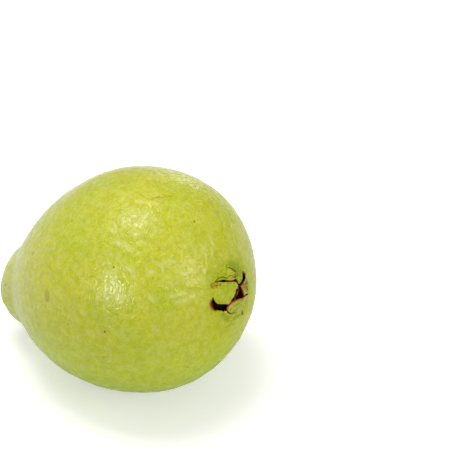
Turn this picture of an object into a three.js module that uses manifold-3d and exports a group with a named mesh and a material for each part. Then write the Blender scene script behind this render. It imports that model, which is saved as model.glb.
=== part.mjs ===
// A guava, as picked and lying on its side: a green pear-shaped fruit with a short thick neck,
// the crown of five dried sepals at its blossom end with the floral disc under them, and the
// woody stub of its stalk in the dimple at the end of its neck.
//
// Millimetres, +Z up. The origin is the middle of the small flat spot that the fruit rests on.
// The blossom end points along +X and a little upwards, the neck along -X and a little down.
import * as THREE from 'three';
import { mergeVertices } from 'three/addons/utils/BufferGeometryUtils.js';
import Module from 'manifold-3d';

const { clamp, degToRad } = THREE.MathUtils;

// ---- Driving dimensions ----

// The fruit is a body of revolution about a bent centre line. Lengths run along that line from
// the widest section; fullness is the power of each superellipse, 2 being a plain ellipse.
const BODY_RADIUS = 34;
const BLOSSOM_LENGTH = 35.7;
const BLOSSOM_FULLNESS = 2.47;
const SHOULDER_LENGTH = 40.7;
const SHOULDER_FULLNESS = 1.78;
const NECK_RADIUS = 17;
const NECK_LENGTH = 51.3;
const NECK_FULLNESS = 5.4;
const NECK_BLEND = 8;
const NECK_BLEND_REACH = 10;

// The centre line: how the fruit lies, how far its ends droop and rise per BEND_REACH of length.
const TILT = degToRad(16.3);
const BEND_REACH = 40;
const END_DROOP = 3.3;
const END_RISE = 1.7;

// Gentle waves that keep the body from being perfectly round. Each has its share of the height,
// its number of crests round the body, its turn along the body and where its crests start.
const WAVE_HEIGHT = 0.3;
const WAVE_LENGTH = 26;
const WAVES = [
  { share: 1, crests: 2, twist: 1, start: -1.2 },
  { share: 0.8, crests: 3, twist: -1, start: 3 },
  { share: 0.5, crests: 5, twist: 2, start: 0.37 },
];

const REST_SPOT_DEPTH = 0.95;

// The crown at the blossom end. Heights run outwards along the crown's axis from the skin.
const CROWN_DEPTH = 3.3;
const SEPAL_THICKNESS = 1.2;
const PIECE_GAP = 0.32;
const DISC_THICKNESS = 1.2;

// The stalk's end at the neck.
const DIMPLE_RADIUS = 7;
const DIMPLE_DEPTH = 2.2;
const STUB_RADIUS = 2.3;
const STUB_LENGTH = 3.6;
const STUB_SEAT = 1;

// The stub's side from its foot to its broken end, as shares of its radius and length.
const STUB_PROFILE = [
  [0, 0], [0.95, 0], [0.9, 0.45], [0.82, 0.7], [0.93, 0.92], [0.6, 1], [0, 0.97],
];

// How far cutting shapes reach past the skin that they cut.
const CUT_REACH = 8;

// Mesh fineness.
const BODY_RINGS = 42;
const BODY_SEGMENTS = 60;
const OUTLINE_STEPS = 3;
const DIMPLE_RINGS = 24;
const DIMPLE_SEGMENTS = 32;
const STUB_SEGMENTS = 20;

// Outlines on the crown, seen from outside along its axis: first number towards +Y, second
// number up the fruit, from the blossom pole. Each runs round its shape in one go.
const CROWN_OUTLINE = [
  [-10.4, 0.1], [-9.7, -1], [-8.4, -1.8], [-6.5, -3.3], [-5.1, -4.4], [-4, -5.9], [-2, -6.9],
  [1, -7.6], [4.2, -7.3], [7.1, -5.8], [8.5, -3.6], [8.9, -1], [8.5, 1.5], [7.8, 3.7],
  [6.1, 5.7], [3.8, 7.2], [0.8, 8.2], [-2.2, 8.2], [-5.2, 7.2], [-7.6, 5.6], [-8.9, 3.9], [-9.7, 2.2],
];
const SEPAL_OUTLINES = {
  sepal_front: [
    [-5.8, 5.7], [-3.8, 5.1], [-1.1, 3.6], [0.6, 2.6], [1.9, 2.1], [2.6, 1.1], [2.8, -0.1],
    [1.6, -0.8], [0.6, -1.1], [-1.2, -2.1], [-3.3, -2.6], [-5.8, -1.4], [-7.8, 0.1],
    [-8.3, 1.9], [-8.2, 3.3], [-7.2, 4.8],
  ],
  sepal_top: [
    [-5, 6.7], [-3.6, 5.8], [-1.9, 4.9], [-0.9, 4.3], [0.6, 3.3], [1.9, 2.8], [2.5, 3.2],
    [2.6, 4.2], [2.2, 5.6], [1.5, 6.9], [0.7, 7.6], [-2.2, 7.6],
  ],
  sepal_top_back: [
    [1.7, 7.2], [2.5, 6.1], [3.1, 4.8], [3, 3.2], [3.1, 1.7], [3.5, 0.4], [5, 0.6],
    [6.3, 1.3], [7.5, 2.2], [7.2, 3.6], [5.7, 5.2], [3.6, 6.6],
  ],
  sepal_back: [
    [4.4, -0.7], [6.5, -0.5], [8.1, -0.1], [8.3, -1.4], [7.9, -3.4], [6.8, -5], [5.7, -4.9],
    [4.6, -4.5], [4.3, -2.5],
  ],
  sepal_bottom: [
    [-4.2, -4.6], [-3.8, -3.3], [-2, -2.9], [-0.7, -3], [0.6, -3.7], [1.9, -4.1], [3.1, -4.7],
    [4.4, -5.1], [6.3, -5.7], [4.1, -6.7], [1, -7], [-1.7, -6.4], [-3.3, -5.6],
  ],
};

// ---- The fruit's form ----

function superellipse(radius, length, fullness, x) {
  const rest = 1 - (Math.abs(x) / length) ** fullness;
  return rest > 0 ? radius * Math.sqrt(rest) : 0;
}

function smoothMax(a, b, width) {
  if (width < 1e-6) return Math.max(a, b);
  const share = clamp(0.5 + (0.5 * (a - b)) / width, 0, 1);
  return b * (1 - share) + a * share + width * share * (1 - share);
}

// The round section's radius at x along the centre line.
function sectionRadius(x) {
  if (x >= 0) return superellipse(BODY_RADIUS, BLOSSOM_LENGTH, BLOSSOM_FULLNESS, x);
  const shoulder = superellipse(BODY_RADIUS, SHOULDER_LENGTH, SHOULDER_FULLNESS, x);
  const neck = superellipse(NECK_RADIUS, NECK_LENGTH, NECK_FULLNESS, x);
  const blend = (NECK_BLEND * clamp(-x / NECK_BLEND_REACH, 0, 1) * neck) / NECK_RADIUS;
  return smoothMax(shoulder, neck, blend);
}

// How far the waves lift the skin; they die out at both poles.
function wave(x, angle, radius) {
  const height = WAVES.reduce((sum, { share, crests, twist, start }) => (
    sum + share * Math.sin(crests * angle + (twist * x) / WAVE_LENGTH + start)), 0);
  return (WAVE_HEIGHT * height * radius) / BODY_RADIUS;
}

function centreHeight(x) {
  return (-END_DROOP * (x / BEND_REACH) ** 2) + (END_RISE * x) / BEND_REACH;
}

// A point of the skin, about the widest section's centre; angle 0 is the upper side.
function skinPoint(x, angle) {
  const radius = sectionRadius(x);
  const lifted = radius + wave(x, angle, radius);
  const point = new THREE.Vector3(x, lifted * Math.sin(angle), centreHeight(x) + lifted * Math.cos(angle));
  return point.applyAxisAngle(new THREE.Vector3(0, 1, 0), -TILT);
}

// The point underneath that touches a level surface.
function lowestPoint() {
  let lowest = skinPoint(0, Math.PI);
  for (let x = -BODY_RADIUS / 2; x < BODY_RADIUS / 2; x += 0.1) {
    const point = skinPoint(x, Math.PI);
    if (point.z < lowest.z) lowest = point;
  }
  return lowest;
}

// ---- Solids ----

const wasm = await Module();
wasm.setup();

function toSolid(geometry) {
  const plain = geometry.clone();
  plain.deleteAttribute('normal');
  plain.deleteAttribute('uv');
  const merged = mergeVertices(plain, 1e-4);
  const vertProperties = new Float32Array(merged.attributes.position.array);
  const triVerts = new Uint32Array(merged.index.array);
  return new wasm.Manifold(new wasm.Mesh({ numProp: 3, vertProperties, triVerts }));
}

function toGeometry(solid) {
  const mesh = solid.getMesh();
  const geometry = new THREE.BufferGeometry();
  geometry.setAttribute('position', new THREE.BufferAttribute(mesh.vertProperties, 3));
  geometry.setIndex(new THREE.BufferAttribute(mesh.triVerts, 1));
  geometry.computeVertexNormals();
  return geometry;
}

// The whole body: a ball's grid of points, each moved to its place on the skin.
function bodyGeometry(origin) {
  const geometry = new THREE.SphereGeometry(1, BODY_SEGMENTS, BODY_RINGS);
  const points = geometry.attributes.position;
  const middle = (BLOSSOM_LENGTH - NECK_LENGTH) / 2;
  const reach = (BLOSSOM_LENGTH + NECK_LENGTH) / 2;
  for (let i = 0; i < points.count; i += 1) {
    const along = clamp(points.getY(i), -1, 1);
    const angle = Math.atan2(-points.getX(i), points.getZ(i));
    const point = skinPoint(middle + reach * along, angle).sub(origin);
    points.setXYZ(i, point.x, point.y, point.z);
  }
  return geometry;
}

// A frame on the skin at one end of the fruit: its third axis points outwards, its second up.
function endFrame(x, outwards, origin) {
  const axis = new THREE.Vector3(outwards * Math.cos(TILT), 0, outwards * Math.sin(TILT));
  const up = new THREE.Vector3(-Math.sin(TILT), 0, Math.cos(TILT));
  const side = new THREE.Vector3().crossVectors(up, axis);
  const frame = new THREE.Matrix4().makeBasis(side, up, axis);
  return frame.setPosition(skinPoint(x, 0).sub(origin));
}

// A prism over a smooth closed outline in the frame's plane, between two heights.
function prism(outline, bottom, top, frame) {
  const corners = outline.map(([right, up]) => new THREE.Vector3(right, up, 0));
  const curve = new THREE.CatmullRomCurve3(corners, true, 'centripetal');
  const points = curve.getPoints(corners.length * OUTLINE_STEPS).slice(0, -1);
  const shape = new THREE.Shape(points.map((p) => new THREE.Vector2(p.x, p.y)));
  const geometry = new THREE.ExtrudeGeometry(shape, { depth: top - bottom, bevelEnabled: false });
  return toSolid(geometry.translate(0, 0, bottom).applyMatrix4(frame));
}

// The outline moved in towards its middle.
function inset(outline, gap) {
  const right = outline.reduce((sum, p) => sum + p[0], 0) / outline.length;
  const up = outline.reduce((sum, p) => sum + p[1], 0) / outline.length;
  return outline.map((p) => {
    const distance = Math.hypot(p[0] - right, p[1] - up);
    const share = 1 - gap / distance;
    return [right + (p[0] - right) * share, up + (p[1] - up) * share];
  });
}

// The layer of the body between two depths under its skin, measured along the frame's axis.
function layer(body, from, to, axis) {
  const outer = body.translate([-axis.x * from, -axis.y * from, -axis.z * from]);
  const inner = body.translate([-axis.x * to, -axis.y * to, -axis.z * to]);
  return outer.subtract(inner);
}

const origin = lowestPoint();
origin.z += REST_SPOT_DEPTH;
const body = toSolid(bodyGeometry(origin));
const crown = endFrame(BLOSSOM_LENGTH, 1, origin);
const crownAxis = new THREE.Vector3().setFromMatrixColumn(crown, 2);
const stalk = endFrame(-NECK_LENGTH, -1, origin);

// The flesh and skin: the body less the crown's basin, the neck's dimple and the resting spot.
function fruitSolid() {
  const basin = prism(CROWN_OUTLINE, -CUT_REACH, CUT_REACH, crown);
  const basinFloor = body.translate(crownAxis.clone().multiplyScalar(-CROWN_DEPTH).toArray());
  const ballRadius = (DIMPLE_RADIUS ** 2 + DIMPLE_DEPTH ** 2) / (2 * DIMPLE_DEPTH);
  const ball = new THREE.SphereGeometry(ballRadius, DIMPLE_SEGMENTS, DIMPLE_RINGS);
  const dimple = toSolid(ball.translate(0, 0, ballRadius - DIMPLE_DEPTH).applyMatrix4(stalk));
  const seatRadius = STUB_RADIUS + PIECE_GAP;
  const seat = new THREE.CylinderGeometry(seatRadius, seatRadius, CUT_REACH, STUB_SEGMENTS);
  const seatFloor = -DIMPLE_DEPTH - STUB_SEAT - PIECE_GAP;
  seat.rotateX(Math.PI / 2).translate(0, 0, seatFloor + CUT_REACH / 2);
  const ground = new THREE.BoxGeometry(4 * BODY_RADIUS, 4 * BODY_RADIUS, BODY_RADIUS);
  ground.translate(0, 0, -BODY_RADIUS / 2);
  return body
    .subtract(basin.subtract(basinFloor))
    .subtract(dimple)
    .subtract(toSolid(seat.applyMatrix4(stalk)))
    .subtract(toSolid(ground));
}

// One sepal: a plate of the crown's skin inside its outline.
function sepalSolid(outline) {
  const plate = layer(body, 0, SEPAL_THICKNESS, crownAxis);
  return prism(outline, -CUT_REACH, CUT_REACH, crown).intersect(plate);
}

// The dried floral disc, which lies in the basin under the sepals.
function discSolid() {
  const from = SEPAL_THICKNESS + PIECE_GAP;
  const plate = layer(body, from, from + DISC_THICKNESS, crownAxis);
  const outline = inset(CROWN_OUTLINE, 2 * PIECE_GAP);
  return prism(outline, -CUT_REACH, CUT_REACH, crown).intersect(plate);
}

// The stalk's woody stub: a waisted peg with a broken, slightly domed end.
function stubSolid() {
  const profile = STUB_PROFILE.map(([r, h]) => new THREE.Vector2(r * STUB_RADIUS, h * STUB_LENGTH));
  const geometry = new THREE.LatheGeometry(profile, STUB_SEGMENTS).rotateX(Math.PI / 2);
  return toSolid(geometry.translate(0, 0, -DIMPLE_DEPTH - STUB_SEAT).applyMatrix4(stalk));
}

// ---- The assembly ----

function piece(name, solid, color, roughness) {
  const material = new THREE.MeshStandardMaterial({ color, roughness, metalness: 0 });
  const mesh = new THREE.Mesh(toGeometry(solid), material);
  mesh.name = name;
  return mesh;
}

const guava = new THREE.Group();
guava.add(piece('fruit', fruitSolid(), 0xbccb4a, 0.35));
for (const [name, outline] of Object.entries(SEPAL_OUTLINES)) {
  guava.add(piece(name, sepalSolid(outline), 0xa9b545, 0.5));
}
guava.add(piece('floral_disc', discSolid(), 0x3a1014, 0.8));
guava.add(piece('stalk_stub', stubSolid(), 0x7a5a3a, 0.8));

export default guava;
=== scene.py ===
"""The looks of a green guava lying on its side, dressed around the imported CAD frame.

Lengths are millimetres in the part's frame until a mesh is made, which is in metres, as are the
materials' lengths. The fruit's form is the CAD part's own formula. Points on the crown, at the
blossom end, are given on its plane, both numbers counted from the blossom pole: the first
towards +Y, the second up the fruit.
"""
import math
import random

import bpy
import numpy as np
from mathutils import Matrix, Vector, noise


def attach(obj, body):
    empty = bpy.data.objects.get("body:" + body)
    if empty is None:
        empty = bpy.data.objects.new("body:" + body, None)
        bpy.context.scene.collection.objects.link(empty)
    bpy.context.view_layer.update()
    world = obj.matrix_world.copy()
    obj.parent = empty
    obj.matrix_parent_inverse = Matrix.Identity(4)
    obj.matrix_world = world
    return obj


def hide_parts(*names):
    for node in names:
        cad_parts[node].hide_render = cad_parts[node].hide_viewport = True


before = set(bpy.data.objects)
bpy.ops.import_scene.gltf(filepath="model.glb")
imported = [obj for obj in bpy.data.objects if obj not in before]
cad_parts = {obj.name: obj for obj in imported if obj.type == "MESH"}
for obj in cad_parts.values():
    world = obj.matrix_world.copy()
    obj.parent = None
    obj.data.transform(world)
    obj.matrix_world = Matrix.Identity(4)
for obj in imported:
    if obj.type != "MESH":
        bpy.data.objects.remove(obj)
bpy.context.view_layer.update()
MM = 0.001

# ---- The fruit's form: the CAD part's driving dimensions ----
BODY_RADIUS = 34
BLOSSOM_LENGTH = 35.7
BLOSSOM_FULLNESS = 2.47
SHOULDER_LENGTH = 40.7
SHOULDER_FULLNESS = 1.78
NECK_RADIUS = 17
NECK_LENGTH = 51.3
NECK_FULLNESS = 5.4
NECK_BLEND = 8
NECK_BLEND_REACH = 10
TILT = math.radians(16.3)
BEND_REACH = 40
END_DROOP = 3.3
END_RISE = 1.7
WAVE_HEIGHT = 0.3
WAVE_LENGTH = 26
# Each wave's share of the height, crests round the body, turn along it and start.
WAVES = [(1, 2, 1, -1.2), (0.8, 3, -1, 3), (0.5, 5, 2, 0.37)]
REST_SPOT_DEPTH = 0.95
CROWN_DEPTH = 3.3
SEPAL_THICKNESS = 1.2
DIMPLE_RADIUS = 7
DIMPLE_DEPTH = 2.2
STUB_RADIUS = 2.3
STUB_LENGTH = 3.6
STUB_SEAT = 1

# ---- The crown: how far it reaches from the pole, its rim and its sepals ----
CROWN_REACH = 12
CROWN_SPAN = 16
CROWN_OUTLINE = [
    (-10.1, 0), (-9.9, -0.9), (-9.2, -1.55), (-8.6, -2.1), (-8, -2.05), (-7.3, -2.75),
    (-6.6, -3), (-6.1, -3.8), (-5.4, -3.9), (-4.8, -4.3), (-4.1, -5.6), (-2.6, -6.7), (1, -7.6),
    (4.2, -7.3), (7.1, -5.8), (8.3, -3.6), (8.5, -1), (8.1, 0.6), (7.6, 1.9), (7.2, 4), (5.7, 5.9),
    (3.6, 7.2), (0.8, 8), (-2.2, 8), (-5, 7.2), (-7.2, 5.4), (-8.2, 3.9), (-8.55, 2.5),
    (-9.1, 1.9), (-9.8, 1.2),
]
# Dome is how far a sepal bulges, moss how green it is. Its outline starts where its root ends:
# the last points, as many as root says, run out under the skin around the crown.
SEPALS = {
    "sepal_front": dict(root=5, dome=0.30, moss=0.04, outline=[
        (-5.4, 5.85), (-4.4, 5.4), (-3.7, 5), (-2.9, 4.5), (-2, 4), (-1.2, 3.55),
        (-0.4, 3.15), (0.4, 2.8), (1.15, 2.5), (1.85, 2.1), (2.4, 1.45), (2.75, 0.75), (2.8, 0),
        (2.5, -0.4), (2.1, -0.75), (1.5, -0.45), (0.9, -0.75), (1, -1.15), (0.3, -1.35),
        (-0.6, -1.85), (-1.5, -2.15), (-2.3, -2.55), (-3.2, -2.85), (-4, -2.5), (-4.8, -1.8),
        (-5.6, -1.35), (-6.4, -0.9), (-7.1, -0.5), (-7.6, 0.1), (-7.95, 0.8), (-8.1, 1.6),
        (-8.25, 2.3), (-9.9, 3.2), (-10, 4.6), (-9, 6.3), (-7.6, 7.6), (-6.2, 7.2)]),
    "sepal_top": dict(root=5, dome=0.1, moss=0.25, outline=[
        (-5.2, 5.95), (-4.2, 5.6), (-3.5, 5.4), (-2.7, 5.1), (-1.8, 4.6), (-1, 3.9),
        (-0.3, 3.35), (0.5, 2.95), (1.2, 2.7), (1.9, 2.5), (2.4, 2.8), (2.6, 3.5), (3.4, 4.15),
        (3.05, 4.97), (2.42, 5.73), (1.95, 6.38), (1.38, 6.86), (0.75, 7.25), (0.4, 8.2), (-0.5, 9.5),
        (-3.3, 9.4), (-6.2, 8.6), (-7, 7.4)]),
    "sepal_top_back": dict(root=5, dome=0.1, moss=0.75, outline=[
        (0.85, 7.25), (1.45, 6.9), (2.08, 6.47), (2.55, 5.85), (3.2, 5.1), (3.5, 4.2), (2.75, 3.4),
        (2.6, 2.7), (2.75, 2.1), (3.05, 1.5), (3.25, 0.9), (3.4, 0.35), (4.1, 0.15), (4.9, 0.2),
        (5.75, 0.5), (6.4, 1.15), (6.75, 1.9), (7.6, 2.3), (9, 2.6), (8.9, 4.6), (7.1, 7.2),
        (4.4, 8.9), (1.6, 9.3)]),
    "sepal_back": dict(root=5, dome=0.1, moss=0.8, outline=[
        (4.6, -4.65), (4.55, -4), (4.35, -3), (4.1, -2), (3.8, -1.1), (3.95, -0.55),
        (4.9, -0.5), (5.8, -0.5), (6.6, -0.35), (7.2, -0.05), (7.7, 0.4), (9.3, 0.7), (10.1, -0.9),
        (9.9, -3.2), (9.2, -5.2), (8.1, -6), (6.6, -5), (5.5, -4.85)]),
    "sepal_bottom": dict(root=7, dome=0.2, moss=0.4, outline=[
        (-4.5, -4.9), (-4.25, -4.1), (-4, -3.4), (-3.2, -3.1), (-2.3, -3.05), (-1.3, -2.95),
        (-0.5, -3.1), (0.3, -3.25), (1, -3.55), (1.8, -3.85), (2.5, -4.15), (3.2, -4.5),
        (4, -4.9), (5.4, -5.1), (6.4, -5.25), (7.4, -5.7), (8.2, -7), (5, -8.8), (1, -9.1),
        (-2.4, -8.4), (-3, -7), (-3.6, -6)]),
}

# ---- The fruit's form, on arrays ----


def superellipse(radius, length, fullness, x):
    rest = 1 - (np.abs(x) / length) ** fullness
    return radius * np.sqrt(np.clip(rest, 0, None))


def smooth_max(a, b, width):
    width = np.maximum(width, 1e-6)
    share = np.clip(0.5 + 0.5 * (a - b) / width, 0, 1)
    return b * (1 - share) + a * share + width * share * (1 - share)


def smooth_step(low, high, value):
    t = np.clip((value - low) / (high - low), 0, 1)
    return t * t * (3 - 2 * t)


def section_radius(x):
    """The round section's radius at x along the centre line."""
    blossom = superellipse(BODY_RADIUS, BLOSSOM_LENGTH, BLOSSOM_FULLNESS, x)
    shoulder = superellipse(BODY_RADIUS, SHOULDER_LENGTH, SHOULDER_FULLNESS, x)
    neck = superellipse(NECK_RADIUS, NECK_LENGTH, NECK_FULLNESS, x)
    blend = NECK_BLEND * np.clip(-x / NECK_BLEND_REACH, 0, 1) * neck / NECK_RADIUS
    return np.where(x >= 0, blossom, smooth_max(shoulder, neck, blend))


def wave(x, angle, radius):
    """How far the gentle waves lift the skin; they die out at both poles."""
    height = sum(share * np.sin(crests * angle + twist * x / WAVE_LENGTH + start)
                 for share, crests, twist, start in WAVES)
    return WAVE_HEIGHT * height * radius / BODY_RADIUS


def centre_height(x):
    return -END_DROOP * (x / BEND_REACH) ** 2 + END_RISE * x / BEND_REACH


def tilted(x, y, z):
    """A point of the untilted body, turned to how the fruit lies."""
    cos, sin = math.cos(TILT), math.sin(TILT)
    return np.stack([x * cos - z * sin, y + 0 * x, x * sin + z * cos], -1)


def centred_point(x, angle):
    """A point of the skin, about the widest section's centre; angle 0 is the upper side."""
    radius = section_radius(x)
    lifted = radius + wave(x, angle, radius)
    return tilted(x, lifted * np.sin(angle), centre_height(x) + lifted * np.cos(angle))


def rest_origin():
    """The middle of the resting spot, about the widest section's centre."""
    under = centred_point(np.arange(-BODY_RADIUS / 2, BODY_RADIUS / 2, 0.1), np.pi)
    lowest = under[under[:, 2].argmin()]
    return lowest + np.array([0, 0, REST_SPOT_DEPTH])


ORIGIN = rest_origin()


def skin_point(x, angle):
    return centred_point(x, angle) - ORIGIN


AXIS = np.array([math.cos(TILT), 0, math.sin(TILT)])
UP = np.array([-math.sin(TILT), 0, math.cos(TILT)])
SIDE = np.array([0.0, 1.0, 0.0])
BLOSSOM_POLE = skin_point(np.float64(BLOSSOM_LENGTH), 0.0)
STEM_POLE = skin_point(np.float64(-NECK_LENGTH), 0.0)


SEARCH_SPAN = 14.0
HALVINGS = 26


def crown_place(points):
    """The points' two numbers on the crown's plane."""
    offset = points - BLOSSOM_POLE
    return np.stack([offset @ SIDE, offset @ UP], -1)


def crown_surface(place):
    """The bare skin's points over the given places on the crown's plane.

    The length along the fruit is found by halving a span of it that is sure to hold the point.
    """
    side, up = place[..., 0], place[..., 1]
    low = np.full(side.shape, BLOSSOM_LENGTH - SEARCH_SPAN)
    high = np.full(side.shape, float(BLOSSOM_LENGTH))
    for _ in range(HALVINGS):
        x = (low + high) / 2
        rise = up + centre_height(BLOSSOM_LENGTH) - centre_height(x)
        angle = np.arctan2(side, rise)
        radius = section_radius(x)
        outside = np.hypot(side, rise) > radius + wave(x, angle, radius)
        high = np.where(outside, x, high)
        low = np.where(outside, low, x)
    x = (low + high) / 2
    rise = up + centre_height(BLOSSOM_LENGTH)
    return tilted(x, side, rise) - ORIGIN


# ---- Noise and outlines ----


SEED_STEP = 17.3


def noise_at(points, size, seed):
    """Smooth noise between -1 and 1, with features of about the given size in millimetres."""
    places = np.asarray(points) / size + seed * SEED_STEP
    flat = places.reshape(-1, 3)
    values = np.fromiter((noise.noise(Vector(p)) for p in flat), float, len(flat))
    return values.reshape(places.shape[:-1])


def closed_curve(corners, steps):
    """A smooth closed curve through the corners (centripetal Catmull-Rom)."""
    points = np.array(corners, float)
    count = len(points)
    rows = []
    for i in range(count):
        p0, p1, p2, p3 = (points[(i + k - 1) % count] for k in range(4))
        knots = [0.0]
        for a, b in ((p0, p1), (p1, p2), (p2, p3)):
            knots.append(knots[-1] + math.sqrt(np.linalg.norm(b - a)))
        t0, t1, t2, t3 = knots
        t = np.linspace(t1, t2, steps, endpoint=False)[:, None]
        a1 = (t1 - t) / (t1 - t0) * p0 + (t - t0) / (t1 - t0) * p1
        a2 = (t2 - t) / (t2 - t1) * p1 + (t - t1) / (t2 - t1) * p2
        a3 = (t3 - t) / (t3 - t2) * p2 + (t - t2) / (t3 - t2) * p3
        b1 = (t2 - t) / (t2 - t0) * a1 + (t - t0) / (t2 - t0) * a2
        b2 = (t3 - t) / (t3 - t1) * a2 + (t - t1) / (t3 - t1) * a3
        rows.append((t2 - t) / (t2 - t1) * b1 + (t - t1) / (t2 - t1) * b2)
    return np.concatenate(rows)


def distance_to_line(places, line, closed=False):
    """The distance from each place to a line of points."""
    line = np.asarray(line, float)
    ends = np.roll(line, -1, 0) if closed else line[1:]
    starts = line if closed else line[:-1]
    best = np.full(places.shape[:-1], np.inf)
    for a, b in zip(starts, ends):
        step = b - a
        share = np.clip(((places - a) @ step) / (step @ step), 0, 1)
        gap = np.linalg.norm(places - a - share[..., None] * step, axis=-1)
        best = np.minimum(best, gap)
    return best


def inside(places, outline):
    """Which places lie inside a closed outline."""
    result = np.zeros(places.shape[:-1], bool)
    x, y = places[..., 0], places[..., 1]
    for (ax, ay), (bx, by) in zip(outline, np.roll(outline, -1, 0)):
        if ay == by:
            continue
        crosses = (ay > y) != (by > y)
        result ^= crosses & (x < (bx - ax) * (y - ay) / (by - ay) + ax)
    return result


BASIN = closed_curve(CROWN_OUTLINE, 6)
WELL_OUTSIDE = -9.0


def basin_depth_in(places):
    """Signed distance into the crown's basin: positive inside its outline."""
    near = np.linalg.norm(places, axis=-1) < CROWN_REACH + 2
    result = np.full(places.shape[:-1], WELL_OUTSIDE)
    gap = distance_to_line(places[near], BASIN, closed=True)
    result[near] = np.where(inside(places[near], BASIN), gap, -gap)
    return result


# ---- Relief: what stands out from the smooth form, heights and sizes in millimetres ----
LUMPS = [(0.16, 11, 1), (0.10, 5.5, 2)]
CRINKLE_HEIGHT, CRINKLE_SIZE, CRINKLE_DRIFT = 0.085, 1.9, 2.5
PLEAT_HEIGHT, PLEATS_ROUND, PLEAT_LENGTH = 0.09, 14, 16
FOLD_HEIGHT, FOLDS_ROUND, FOLD_LENGTH, FOLD_REACH = 0.17, 5.5, 10, 11
RING_HEIGHT, RING_SPACING, RING_BREAKS = 0.10, 1.5, 2.2
CREASE_DEPTH, CREASE_PLACE, CREASE_WIDTH = 0.22, 57.6, 0.7


def around(bearing, count, last):
    """Noise places that run round the fruit, with about as many features as the count says."""
    return np.stack([count * np.cos(bearing), count * np.sin(bearing), last], -1)


def crown_pleats(bearing, reach, depth):
    """Fine pleats that run in towards the crown, and deeper folds close around it."""
    pleats = PLEAT_HEIGHT * noise_at(around(bearing, PLEATS_ROUND, depth / PLEAT_LENGTH), 1, 8)
    pleats = pleats * smooth_step(7, 12, reach) * smooth_step(46, 22, depth)
    near_crown = np.exp(-(((reach - FOLD_REACH) / 7) ** 2)) * (depth < CROWN_SPAN)
    folds = noise_at(around(bearing, FOLDS_ROUND, depth / FOLD_LENGTH), 1, 9)
    return pleats + FOLD_HEIGHT * folds * near_crown


def neck_rings(bearing, depth, warp):
    """Faint rings round the neck and one broken crease; the warp makes both uneven."""
    hoops = around(bearing, RING_BREAKS, depth / RING_SPACING)[..., [2, 0, 1]]
    rings = RING_HEIGHT * noise_at(hoops + 0.35 * warp, 1, 10) * smooth_step(34, 52, depth)
    crease = np.exp(-((depth - CREASE_PLACE + 0.6 * warp[..., 0]) / CREASE_WIDTH) ** 2)
    broken = smooth_step(-0.3, 0.3, noise_at(hoops * [0, 0.5, 0.5], 1, 13))
    return rings - CREASE_DEPTH * crease * broken


def relief(points):
    """The skin's lumps and wrinkles at points of the smooth form."""
    depth = (BLOSSOM_POLE - points) @ AXIS
    radial = points - BLOSSOM_POLE + depth[..., None] * AXIS
    bearing = np.arctan2(radial @ SIDE, radial @ UP)
    reach = np.linalg.norm(radial, axis=-1)
    warp = np.stack([noise_at(points, 5, 3 + k) for k in range(3)], -1)
    lumps = sum(height * noise_at(points, size, seed) for height, size, seed in LUMPS)
    lumps *= smooth_step(5, 16, np.where(depth < CROWN_SPAN, reach, 16))
    crinkle = CRINKLE_HEIGHT * noise_at(points + CRINKLE_DRIFT * warp, CRINKLE_SIZE, 6)
    pleats = crown_pleats(bearing, reach, depth)
    return lumps + crinkle + pleats + neck_rings(bearing, depth, warp)


# ---- Meshes ----


def make_mesh(name, points, faces, masks):
    """A smooth mesh object from millimetre points; masks become point attributes."""
    mesh = bpy.data.meshes.new(name)
    mesh.from_pydata((np.asarray(points) * MM).tolist(), [], faces)
    mesh.shade_smooth()
    for key, values in masks.items():
        layer = mesh.attributes.new(key, "FLOAT", "POINT")
        layer.data.foreach_set("value", np.asarray(values, np.float32))
    mesh.update()
    piece = bpy.data.objects.new(name, mesh)
    bpy.context.scene.collection.objects.link(piece)
    return piece


def grid_faces(rows, columns):
    """Faces of a closed grid whose first and last rows are single points."""
    faces = [(0, 1 + j, 1 + (j + 1) % columns) for j in range(columns)]
    for i in range(rows - 3):
        a, b = 1 + i * columns, 1 + (i + 1) * columns
        for j in range(columns):
            k = (j + 1) % columns
            faces.append((a + j, b + j, b + k, a + k))
    last, end = 1 + (rows - 3) * columns, 1 + (rows - 2) * columns
    faces += [(end, last + (j + 1) % columns, last + j) for j in range(columns)]
    return faces


def pole_rows(grid):
    """A grid of rows flattened, its first and last rows reduced to one point each."""
    flat = grid[1:-1].reshape(-1, grid.shape[-1]) if grid.ndim == 3 else grid[1:-1].reshape(-1)
    return np.concatenate([grid[0, :1], flat, grid[-1, :1]])


def grid_mesh(name, grid, masks, flipped=False):
    """A closed mesh over a grid of points whose first and last rows each close in one point."""
    faces = grid_faces(*grid.shape[:2])
    if flipped:
        faces = [face[::-1] for face in faces]
    masks = {key: pole_rows(value) for key, value in masks.items()}
    return make_mesh(name, pole_rows(grid), faces, masks)


COLUMNS = 320
CROWN_STEP = 0.18
SKIN_STEP = 0.47
FADE_REACH = 18
PROFILE_POINTS, TABLE_POINTS = 8000, 6000
RIM_SETBACK = 1.2


def row_stations():
    """Where along the fruit the skin's rows lie: close at the crown, further apart elsewhere."""
    turn = np.linspace(0, np.pi, PROFILE_POINTS)
    middle, reach = (BLOSSOM_LENGTH - NECK_LENGTH) / 2, (BLOSSOM_LENGTH + NECK_LENGTH) / 2
    x = middle + reach * np.cos(turn)
    radius = section_radius(x)
    arc = np.concatenate([[0], np.cumsum(np.hypot(np.diff(x), np.diff(radius)))])
    stops = [0.0]
    while stops[-1] < arc[-1] - SKIN_STEP:
        step = np.interp(stops[-1], [0, CROWN_REACH, FADE_REACH], [CROWN_STEP, CROWN_STEP, SKIN_STEP])
        stops.append(stops[-1] + step)
    stops.append(arc[-1])
    return np.interp(stops, arc, x)


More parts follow.
